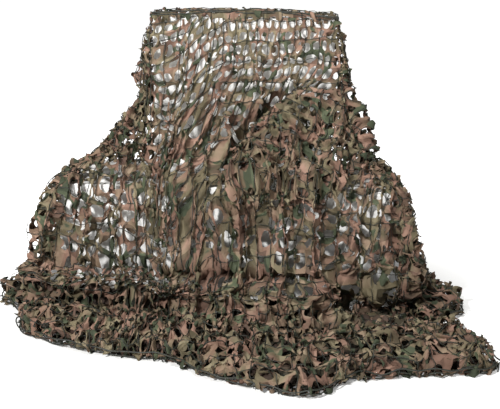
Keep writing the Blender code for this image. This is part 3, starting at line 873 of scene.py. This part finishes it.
def add_node(tree, kind, inputs=None, stops=None, **settings):
    """Adds one node with its settings and inputs; stops are the places and colours of a colour ramp."""
    made = tree.nodes.new(kind)
    for name, value in settings.items():
        setattr(made, name, value)
    if stops:
        ramp = made.color_ramp.elements
        for stop, (at, code) in zip(ramp, (stops[0], stops[-1])):
            stop.position, stop.color = at, tint(code)
        for at, code in stops[1:-1]:
            ramp.new(at).color = tint(code)
    wire(made, inputs or {})
    return made


def new_tree(name, *sockets):
    """A geometry tree with named inputs, and what adds a node to it."""
    tree = bpy.data.node_groups.new(name, "GeometryNodeTree")
    for label, kind in (("Geometry", "Geometry"),) + sockets:
        tree.interface.new_socket(label, in_out="INPUT", socket_type="NodeSocket" + kind)
    tree.interface.new_socket("Geometry", in_out="OUTPUT", socket_type="NodeSocketGeometry")
    return tree, tree.nodes.new("NodeGroupInput").outputs, partial(add_node, tree)


def close_tree(node, inputs, made, smooth):
    """Ends a tree: copies made real, and its material set."""
    made = node("GeometryNodeRealizeInstances", {"Geometry": made})
    if smooth:
        made = node("GeometryNodeSetShadeSmooth", {"Geometry": made})
    made = node("GeometryNodeSetMaterial", {"Geometry": made, "Material": inputs["Material"]})
    node("NodeGroupOutput", {0: made})


def on_drape(node, drape, value, place):
    """A vector of the drape at a place on the flat sheet, and whether the place is on it."""
    flat = node("GeometryNodeInputNamedAttribute", {"Name": "flat"}, data_type="FLOAT_VECTOR")
    place = node("ShaderNodeVectorMath", {0: place, "Scale": 1 / SHEET_SPAN}, operation="SCALE")
    sample = {"Mesh": drape, "Value": value, "UV Map": flat, "Sample UV": place}
    return node("GeometryNodeSampleUVSurface", sample, data_type="FLOAT_VECTOR").outputs


def traits_at(node, drape, place):
    """How open and rough the drape is at a place, whether it is a hidden layer painted darker as painted
    shade, and whether the place is on the sheet.
    """
    traits = node("GeometryNodeInputNamedAttribute", {"Name": "traits"}, data_type="FLOAT_VECTOR")
    found = on_drape(node, drape, traits, place)
    return (*node("ShaderNodeSeparateXYZ", {0: found[0]}).outputs, found["Is Valid"])


def laid_on_drape(node, inputs, geometry):
    """Takes geometry drawn on the flat sheet, its height as Z, and lays it on the drape, a little wavy."""
    drape = inputs["Geometry"]
    here = node("GeometryNodeInputPosition")
    _, rough, buried, _ = traits_at(node, drape, here)
    calm = node("ShaderNodeMath", {0: rough, 1: 0.7, 2: 0.5}, operation="MULTIPLY_ADD")
    waved = []
    for seed, scale, size, part in (
        (1.0, 9.0, (0.090, 0.090, 0.0), calm), (4.0, 38.0, (0.022, 0.022, 0.050), rough),
    ):
        noise = {"Vector": here, "W": seed, "Scale": scale, "Detail": 1.0}
        noise = node("ShaderNodeTexNoise", noise, noise_dimensions="4D").outputs["Color"]
        noise = node("ShaderNodeVectorMath", {0: noise, 1: (0.5, 0.5, 0.5)}, operation="SUBTRACT")
        noise = node("ShaderNodeVectorMath", {0: noise, 1: size}, operation="MULTIPLY")
        waved.append(node("ShaderNodeVectorMath", {0: noise, "Scale": part}, operation="SCALE"))
    moved = node("ShaderNodeVectorMath", {0: waved[0], 1: waved[1]}, operation="ADD")
    moved = node("ShaderNodeVectorMath", {0: here, 1: moved}, operation="ADD")
    x, y, z = node("ShaderNodeSeparateXYZ", {0: moved}).outputs
    place = node("ShaderNodeCombineXYZ", {"X": x, "Y": y})
    on = on_drape(node, drape, node("GeometryNodeInputPosition"), place)
    up = on_drape(node, drape, node("GeometryNodeInputNormal"), place)
    rise = node("ShaderNodeMath", {0: z, 1: inputs["Height over drape"]}, operation="ADD")
    lift = node("ShaderNodeVectorMath", {0: up[0], "Scale": rise}, operation="SCALE")
    point = node("ShaderNodeVectorMath", {0: on[0], 1: lift}, operation="ADD")
    point = node("ShaderNodeVectorMath", {0: point, 1: (-9.0, -9.0, FLOOR_GAP)}, operation="MAXIMUM")
    off = node("FunctionNodeBooleanMath", {0: on["Is Valid"]}, operation="NOT")
    # the hidden-layer mark goes along so that the cloth's material can paint shade on those layers
    for name, value, kind in (("off_sheet", off, "BOOLEAN"), ("buried", buried, "FLOAT")):
        kept = {"Geometry": geometry, "Name": name, "Value": value}
        geometry = node("GeometryNodeStoreNamedAttribute", kept, data_type=kind)
    placed = node("GeometryNodeSetPosition", {"Geometry": geometry, "Position": point})
    gone = node("GeometryNodeInputNamedAttribute", {"Name": "off_sheet"}, data_type="BOOLEAN")
    return node("GeometryNodeDeleteGeometry", {"Geometry": placed, "Selection": gone})


SHEET_SOCKETS = (
    ("Width", "Float"), ("Height", "Float"), ("Low corner", "Vector"), ("Count across", "Int"),
    ("Count down", "Int"), ("Pitch across", "Float"), ("Seed", "Int"), ("Height over drape", "Float"),
    ("Material", "Material"),
)


def leaf_tree():
    """Cells of the leaf cut in staggered rows on the flat sheet, laid on the drape."""
    tree, inputs, node = new_tree(
        "leaf_cut_rows", *SHEET_SOCKETS, ("Cells", "Collection"), ("Hidden left out", "Float")
    )
    # points in rows from the sheet's low corner, every second row half a cell on
    grid = node("GeometryNodeMeshGrid", {
        "Size X": inputs["Width"], "Size Y": inputs["Height"],
        "Vertices X": inputs["Count across"], "Vertices Y": inputs["Count down"],
    })
    size = node("ShaderNodeCombineXYZ", {"X": inputs["Width"], "Y": inputs["Height"]})
    half = node("ShaderNodeVectorMath", {0: size, "Scale": 0.5}, operation="SCALE")
    corner = node("ShaderNodeVectorMath", {0: inputs["Low corner"], 1: half}, operation="ADD")
    points = node("GeometryNodeSetPosition", {"Geometry": grid, "Offset": corner})
    index = node("GeometryNodeInputIndex")
    row = node("FunctionNodeIntegerMath", {0: index, 1: inputs["Count down"]}, operation="MODULO")
    odd = node("FunctionNodeIntegerMath", {0: row, 1: 2}, operation="MODULO")
    half = node("ShaderNodeMath", {0: inputs["Pitch across"], 1: 0.5}, operation="MULTIPLY")
    shift = node("ShaderNodeMath", {0: odd, 1: half}, operation="MULTIPLY")
    shift = node("ShaderNodeCombineXYZ", {"X": shift})
    points = node("GeometryNodeSetPosition", {"Geometry": points, "Offset": shift})

    # which cell each point takes, its tone and which way round it lies
    here = node("GeometryNodeInputPosition")
    opened, _, buried, valid = traits_at(node, inputs["Geometry"], here)
    off = node("FunctionNodeBooleanMath", {0: valid}, operation="NOT")
    left_out = node("ShaderNodeMath", {0: buried, 1: inputs["Hidden left out"]}, operation="MULTIPLY")
    left_out = node("ShaderNodeMath", {0: left_out, 1: 0.5}, operation="GREATER_THAN")
    off = node("FunctionNodeBooleanMath", {0: off, 1: left_out}, operation="OR")
    tone_seed, side_seed = (
        node("FunctionNodeIntegerMath", {0: inputs["Seed"], 1: more}, operation="ADD") for more in (7, 13)
    )
    spread = node(
        "FunctionNodeRandomValue", {2: -PICK_SPREAD, 3: PICK_SPREAD, "ID": index, "Seed": inputs["Seed"]}
    ).outputs[1]
    tone = node("FunctionNodeRandomValue", {"ID": index, "Seed": tone_seed}).outputs[1]
    flip = node(
        "FunctionNodeRandomValue", {"Probability": 0.5, "ID": index, "Seed": side_seed}, data_type="BOOLEAN"
    ).outputs[3]
    calm = node("ShaderNodeMath", {0: 1.3, 1: opened}, operation="SUBTRACT")
    spread = node("ShaderNodeMath", {0: spread, 1: calm}, operation="MULTIPLY")
    pick = node("ShaderNodeMath", {0: opened, 1: spread}, operation="ADD")
    pick = node("ShaderNodeMath", {0: pick, 1: float(VARIANTS - 1)}, operation="MULTIPLY")
    pick = node("ShaderNodeClamp", {"Value": pick, "Max": float(VARIANTS - 1)})
    side = node("ShaderNodeMapRange", {"Value": flip, "To Min": 1.0, "To Max": -1.0})
    for name, value, kind in (
        ("pick", pick, "FLOAT"), ("centre", here, "FLOAT_VECTOR"),
        ("tone", tone, "FLOAT"), ("side", side, "FLOAT"),
    ):
        kept = {"Geometry": points, "Name": name, "Value": value}
        points = node("GeometryNodeStoreNamedAttribute", kept, data_type=kind)
    points = node("GeometryNodeDeleteGeometry", {"Geometry": points, "Selection": off})

    # the cells themselves; cut is a point's place on the uncut cloth
    pick, side, cut, centre = (
        node("GeometryNodeInputNamedAttribute", {"Name": name}, data_type=kind)
        for name, kind in (
            ("pick", "FLOAT"), ("side", "FLOAT"), ("cut", "FLOAT_VECTOR"), ("centre", "FLOAT_VECTOR"),
        )
    )
    pick = node("FunctionNodeFloatToInt", {0: pick}, rounding_mode="ROUND")
    angle = node("ShaderNodeMapRange", {"Value": side, "From Min": -1.0, "To Min": np.pi, "To Max": 0.0})
    angle = node("ShaderNodeCombineXYZ", {"Z": angle})
    placed = node("GeometryNodeInstanceOnPoints", {
        "Points": points, "Pick Instance": True, "Instance Index": pick, "Rotation": angle,
        "Instance": node("GeometryNodeCollectionInfo", {
            "Collection": inputs["Cells"], "Separate Children": True, "Reset Children": True,
        }),
    })
    made = node("GeometryNodeRealizeInstances", {"Geometry": placed})
    cut = node("ShaderNodeVectorMath", {0: cut, "Scale": side}, operation="SCALE")
    cut = node("ShaderNodeVectorMath", {0: cut, 1: centre}, operation="ADD")
    kept = {"Geometry": made, "Name": "cut", "Value": cut}
    made = node("GeometryNodeStoreNamedAttribute", kept, data_type="FLOAT_VECTOR")
    close_tree(node, inputs, laid_on_drape(node, inputs, made), True)
    return tree


def corded(node, path, radius, corners):
    """A cord along a path of edges."""
    ring = node("GeometryNodeCurvePrimitiveCircle", {"Resolution": corners, "Radius": radius})
    return node("GeometryNodeCurveToMesh", {
        "Curve": node("GeometryNodeMeshToCurve", {"Mesh": path}), "Profile Curve": ring,
    })


def cord_tree():
    """The square cord mesh, laid on the drape."""
    tree, inputs, node = new_tree(
        "cord_mesh", *SHEET_SOCKETS, ("Pitch down", "Float"), ("Cord radius", "Float")
    )
    both = node("GeometryNodeJoinGeometry")
    for axis, other, length, pitch, count in (
        ("X", "Y", "Width", "Pitch down", "Count down"), ("Y", "X", "Height", "Pitch across", "Count across"),
    ):
        # one thread of short pieces, repeated over the sheet
        pieces = node("ShaderNodeMath", {0: inputs[length], 1: CORD_PIECE}, operation="DIVIDE")
        pieces = node("FunctionNodeFloatToInt", {0: pieces}, rounding_mode="CEILING")
        step = node("ShaderNodeCombineXYZ", {axis: CORD_PIECE})
        thread = node(
            "GeometryNodeMeshLine", {"Count": pieces, "Start Location": inputs["Low corner"], "Offset": step}
        )
        gap = node("ShaderNodeCombineXYZ", {other: inputs[pitch]})
        rows = node("GeometryNodeMeshLine", {"Count": inputs[count], "Offset": gap})
        placed = node("GeometryNodeInstanceOnPoints", {"Points": rows, "Instance": thread})
        wire(both, {0: node("GeometryNodeRealizeInstances", {"Geometry": placed})})
    laid = laid_on_drape(node, inputs, both)
    close_tree(node, inputs, corded(node, laid, inputs["Cord radius"], 4), True)
    return tree


def knot_tree():
    """Knots with short tails where the cords cross, laid on the drape."""
    tree, inputs, node = new_tree(
        "cord_knots", *SHEET_SOCKETS, ("Pitch down", "Float"), ("Knots", "Collection")
    )
    step_down = node("ShaderNodeCombineXYZ", {"Y": inputs["Pitch down"]})
    step_across = node("ShaderNodeCombineXYZ", {"X": inputs["Pitch across"]})
    column = node("GeometryNodeMeshLine", {
        "Count": inputs["Count down"], "Start Location": inputs["Low corner"], "Offset": step_down,
    })
    row = node("GeometryNodeMeshLine", {"Count": inputs["Count across"], "Offset": step_across})
    points = node("GeometryNodeInstanceOnPoints", {"Points": row, "Instance": column})
    points = laid_on_drape(node, inputs, node("GeometryNodeRealizeInstances", {"Geometry": points}))
    index = node("GeometryNodeInputIndex")
    turn = node(
        "FunctionNodeRandomValue",
        {0: (-3.14, -3.14, -3.14), 1: (3.14, 3.14, 3.14), "ID": index, "Seed": inputs["Seed"]},
        data_type="FLOAT_VECTOR",
    )
    seed = node("FunctionNodeIntegerMath", {0: inputs["Seed"], 1: 3}, operation="ADD")
    placed = node("GeometryNodeInstanceOnPoints", {
        "Points": points, "Pick Instance": True, "Instance Index": index, "Rotation": turn,
        "Scale": node("FunctionNodeRandomValue", {2: 0.6, 3: 1.35, "ID": index, "Seed": seed}).outputs[1],
        "Instance": node("GeometryNodeCollectionInfo", {
            "Collection": inputs["Knots"], "Separate Children": True, "Reset Children": True,
        }),
    })
    close_tree(node, inputs, placed, False)
    return tree


def border_tree():
    """Cord along paths: the net's border at the hem, the cord on the top edge and the loose ends."""
    tree, inputs, node = new_tree("border_cord", ("Cord radius", "Float"), ("Material", "Material"))
    close_tree(node, inputs, corded(node, inputs["Geometry"], inputs["Cord radius"], 5), False)
    return tree


def settle(mesh):
    """Lets what would dip into the floor lie on it, and bends down the tips that stand over the board."""
    place = np.empty(len(mesh.vertices) * 3, np.float32)
    mesh.vertices.foreach_get("co", place)
    z = place[2::3]
    z = np.where(z < FLOOR_GAP, FLOOR_GAP + 0.06 * (z - FLOOR_GAP), z)
    highest = BACK_HEIGHT + TIP_HEIGHT
    place[2::3] = np.where(z > highest, highest + 0.35 * (z - highest), z)
    mesh.vertices.foreach_set("co", place)
    mesh.update()


def made_with(tree, drape, values, name):
    """Runs a tree on the drape, or on paths, and keeps the result as a plain mesh object."""
    work = add_object(name + "_work", drape.data)
    modifier = work.modifiers.new("Make", "NODES")
    modifier.node_group = tree
    for item in tree.interface.items_tree:
        if item.item_type == "SOCKET" and item.in_out == "INPUT" and item.name in values:
            modifier[item.identifier] = values[item.name]
    work.data.update()
    graph = bpy.context.evaluated_depsgraph_get()
    graph.update()
    mesh = bpy.data.meshes.new_from_object(work.evaluated_get(graph), depsgraph=graph)
    bpy.data.objects.remove(work, do_unlink=True)
    mesh.name = name
    settle(mesh)
    return add_object(name, mesh)


# ---------------------------------------------------------------- materials


def new_material(name, roughness):
    """A material with its shader, and what adds a node to it."""
    made = bpy.data.materials.new(name)
    made.use_nodes = True
    shader = made.node_tree.nodes["Principled BSDF"]
    wire(shader, {"Roughness": roughness, "IOR": 1.5})
    return made, shader, partial(add_node, made.node_tree)


def garnish_cloth():
    """Coated nylon cloth, printed brown with green patches some 8 cm wide: matt, with a faint weave.

    A leaf that is turned over may show its green reverse. The weave is drawn coarser than it is, to show.
    The hidden layers bunched under the rolls are painted darker, as painted shade.
    """
    made, shader, node = new_material("leaf_cut_cloth", 0.75)
    cut = node("ShaderNodeAttribute", attribute_name="cut").outputs["Vector"]
    tone, turned, buried = (
        node("ShaderNodeAttribute", attribute_name=name).outputs["Fac"]
        for name in ("tone", "turned", "buried")
    )
    patch = node("ShaderNodeTexNoise", {"Vector": cut, "Scale": 13.0})
    patch = node("ShaderNodeMapRange", {"Value": patch, "From Min": 0.59, "From Max": 0.61})
    reverse = node("ShaderNodeMath", {0: tone, 1: 0.36}, operation="LESS_THAN")
    reverse = node("ShaderNodeMath", {0: reverse, 1: turned}, operation="MULTIPLY")
    green = node("ShaderNodeMath", {0: patch, 1: reverse}, operation="MAXIMUM")
    shade = node("ShaderNodeTexNoise", {"Vector": cut, "Scale": 16.0, "Detail": 3.0, "Roughness": 0.6})
    shade = node("ShaderNodeMath", {0: shade, 1: 0.6}, operation="MULTIPLY")
    shade = node("ShaderNodeMath", {0: tone, 1: 0.4, 2: shade}, operation="MULTIPLY_ADD")
    hue = node("ShaderNodeTexNoise", {"Vector": cut, "Scale": 9.0, "Roughness": 0.6})
    hue = node("ShaderNodeMapRange", {"Value": hue, "From Min": 0.42, "From Max": 0.58})
    red_brown, yellow_brown, leaf_green = (
        node("ShaderNodeValToRGB", {"Fac": shade}, stops=stops)
        for stops in (
            ((0.22, "#4a3930"), (0.5, "#74594b"), (0.82, "#987a6a")),
            ((0.22, "#3f392b"), (0.5, "#615843"), (0.82, "#867c64")),
            ((0.25, "#2a3022"), (0.80, "#525842")),
        )
    )
    brown = node("ShaderNodeMix", {0: hue, 6: red_brown, 7: yellow_brown}, data_type="RGBA").outputs[2]
    colour = node("ShaderNodeMix", {0: green, 6: brown, 7: leaf_green}, data_type="RGBA").outputs[2]
    # painted shade: cloth of the hidden layers is drawn 72 % darker for the shade it lies in
    light = node("ShaderNodeMath", {0: buried, 1: -0.72, 2: 1.0}, operation="MULTIPLY_ADD")
    weave = node("ShaderNodeTexNoise", {"Vector": cut, "Scale": 260.0, "Roughness": 0.6})
    wire(shader, {
        "Specular IOR Level": 0.25,
        "Base Color": node("ShaderNodeVectorMath", {0: colour, "Scale": light}, operation="SCALE"),
        "Normal": node("ShaderNodeBump", {"Strength": 0.25, "Distance": 0.0008, "Height": weave}),
    })
    return made


def dark_cord():
    """Twisted nylon cord, nearly black green, slightly shiny."""
    made, shader, node = new_material("dark_cord", 0.55)
    where = node("ShaderNodeTexCoord").outputs["Object"]
    fibre = node("ShaderNodeTexNoise", {"Vector": where, "Scale": 90.0})
    stops = ((0.3, "#0e100a"), (0.75, "#26291c"))
    wire(shader, {"Base Color": node("ShaderNodeValToRGB", {"Fac": fibre}, stops=stops)})
    return made


def painted_board():
    """Smooth board with matt white paint, with the faint marks of a roller."""
    made, shader, node = new_material("white_painted_board", 0.5)
    where = node("ShaderNodeTexCoord").outputs["Object"]
    cloud = node("ShaderNodeTexNoise", {"Vector": where, "Scale": 3.0, "Detail": 3.0})
    grain = node("ShaderNodeTexNoise", {"Vector": where, "Scale": 400.0})
    stops = ((0.3, "#efeeea"), (0.7, "#f6f5f2"))
    wire(shader, {
        "Base Color": node("ShaderNodeValToRGB", {"Fac": cloud}, stops=stops),
        "Normal": node("ShaderNodeBump", {"Strength": 0.15, "Distance": 0.0005, "Height": grain}),
    })
    return made


def pale_floor():
    """Seamless matt white backdrop, lit from behind away from the object."""
    made, shader, node = new_material("pale_backdrop", 0.9)
    where = node("ShaderNodeTexCoord").outputs["Object"]
    away = node("ShaderNodeVectorMath", {0: where, 1: (-0.06, 0.22, 0)}, operation="ADD")
    away = node("ShaderNodeVectorMath", {0: away, 1: (0.92, 1.0, 0)}, operation="MULTIPLY")
    away = node("ShaderNodeVectorMath", {0: away}, operation="LENGTH").outputs["Value"]
    wire(shader, {
        "Base Color": tint("#f4f4f2"), "Specular IOR Level": 0.1, "Emission Color": (1, 1, 1, 1),
        "Emission Strength": node(
            "ShaderNodeMapRange", {"Value": away, "From Min": 0.62, "From Max": 1.3, "To Max": 0.90}
        ),
    })
    return made


# ---------------------------------------------------------------- making


def turns_between(first, last, spacing):
    """Turns from first to last, at even steps of the drape's girth at the floor."""
    fine = np.linspace(first, last, 1200)
    way = np.zeros(1200)
    for level in (1.0, 2.0, 2.8):
        steps = np.linalg.norm(np.diff(draped(fine, np.full_like(fine, level)), axis=0), axis=-1)
        way[1:] = np.maximum(way[1:], steps)
    total = np.cumsum(way)
    return np.interp(np.linspace(0, total[-1], int(total[-1] / spacing) + 1), total, fine)


levels = np.concatenate([
    np.linspace(0, 1, 100)[:-1], np.linspace(1, 2, 44)[:-1], np.linspace(2, 3, 90)[:-1],
    np.linspace(3, 3.7, 14),
])
levels_hidden = np.concatenate([np.linspace(2.08, 3, 52)[:-1], np.linspace(3, 3.4, 8)])
charts = [
    chart(turns_between(-1.57, 1.50, GRID), levels, 0.0, lift=-0.004, slant=0.45),            # front
    chart(turns_between(1.33, 2.74, GRID), levels, 1.5, lift=-0.006),                         # right
    chart(turns_between(2.47, 5.95, GRID), levels, 4.2, lift=-0.006),                         # back
    chart(turns_between(5.67, 7.05, GRID), levels, 6.6, lift=-0.006),                         # left
    chart(turns_between(0.0, 1.9, GRID), levels[:180], 1.0, lift=0.028, spin=0.5, over=True),  # hood
    top_cap(),
]
for first, last, middle in ((-1.5, 1.5, 0.0), (1.4, 2.65, 1.5), (2.55, 5.85, 4.2), (5.75, 6.95, 6.6)):
    turns = turns_between(first, last, HIDDEN_GRID)
    charts.append(chart(turns, levels_hidden, middle, lift=-0.034, hidden=True))
drape, low, high = add_drape("drape", charts)
width, height = (high - low).tolist()
cloth_cells, leaf_cells = add_leaf_cuts()
cord_finish, board_finish = dark_cord(), painted_board()


def spread_over_sheet(pitch_across, pitch_down, **more):
    """Inputs of the trees that fill the flat sheet with what repeats at these pitches."""
    counts = int(width / pitch_across) + 2, int(height / pitch_down) + 2
    return {
        "Width": width, "Height": height, "Low corner": (low[0], low[1], 0.0), "Count across": counts[0],
        "Count down": counts[1], "Pitch across": pitch_across, "Pitch down": pitch_down, **more,
    }


values = spread_over_sheet(HOLE_ACROSS, HOLE_DOWN, Seed=4, Material=garnish_cloth())
values["Width"] = (values["Count across"] - 1) * HOLE_ACROSS
values["Height"] = (values["Count down"] - 1) * HOLE_DOWN
rows_tree = leaf_tree()
net_cloth, net_leaves = (
    made_with(rows_tree, drape, {**values, "Cells": cells, "Hidden left out": left_out}, name)
    for name, cells, left_out in (("net_cloth", cloth_cells, 0.0), ("net_leaves", leaf_cells, 1.0))
)

values = spread_over_sheet(
    CORD_ACROSS, CORD_DOWN, Seed=5, Material=cord_finish, Knots=add_knots(),
    **{"Height over drape": CORD_HEIGHT, "Cord radius": CORD_RADIUS},
)
net_cords = made_with(cord_tree(), drape, values, "net_cords")
net_knots = made_with(knot_tree(), drape, values, "net_knots")
bpy.data.objects.remove(drape, do_unlink=True)
paths = border_paths()
values = {"Cord radius": BORDER_RADIUS, "Material": cord_finish}
net_border = made_with(border_tree(), paths, values, "net_border")
bpy.data.objects.remove(paths, do_unlink=True)

for piece in (net_cloth, net_leaves, net_cords, net_knots, net_border):
    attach(piece, "root")
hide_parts("net")
for node in ("stand_block", "stand_back"):
    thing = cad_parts[node]
    thing.data.materials.clear()
    thing.data.materials.append(board_finish)

# ---------------------------------------------------------------- stage, light and camera

floor = add_object("floor", mesh_of(
    "floor", [(-20, -20, 0), (20, -20, 0), (20, 40, 0), (-20, 40, 0)], [], [(0, 1, 2, 3)]
))
floor.data.materials.append(pale_floor())
floor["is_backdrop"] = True

world = bpy.data.worlds.new("studio")
bpy.context.scene.world = world
world.use_nodes = True
wire(world.node_tree.nodes["Background"], {"Color": (1, 1, 1, 1), "Strength": 0.14})

for name, at, towards, size, power in (
    ("key", (-2.0, -4.0, 3.3), (0, 0, 0.4), 0.5, 310), ("top", (0.3, -0.6, 4.2), (0, -0.1, 0), 1.0, 110),
):
    lamp = bpy.data.lights.new(name, "AREA")
    lamp.size, lamp.energy = size, power
    light = add_object(name, lamp)
    light.location = at
    light.rotation_euler = (Vector(towards) - Vector(at)).to_track_quat("-Z", "Y").to_euler()

AZIMUTH, PITCH, ROLL = np.radians((3.0, 15.9, 0.8))
DISTANCE = 3.9
TARGET_X, TARGET_Y, CAMERA_Z = 0.095, -0.195, 1.5
camera_at = (TARGET_X + np.sin(AZIMUTH) * DISTANCE, TARGET_Y - np.cos(AZIMUTH) * DISTANCE, CAMERA_Z)
ahead = np.array([-np.sin(AZIMUTH) * np.cos(PITCH), np.cos(AZIMUTH) * np.cos(PITCH), -np.sin(PITCH)])
right = np.array([np.cos(AZIMUTH), np.sin(AZIMUTH), 0.0])
above = np.cross(right, ahead)
right, above = np.cos(ROLL) * right + np.sin(ROLL) * above, np.cos(ROLL) * above - np.sin(ROLL) * right
lens = bpy.data.cameras.new("camera")
lens.sensor_width, lens.lens = 36.0, 77.76  # millimetres
camera = add_object("camera", lens)
camera.matrix_world = Matrix([*zip(right, above, -ahead, camera_at), (0, 0, 0, 1)])
bpy.context.scene.camera = camera
bpy.context.scene.view_settings.view_transform = "Standard"

low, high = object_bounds()
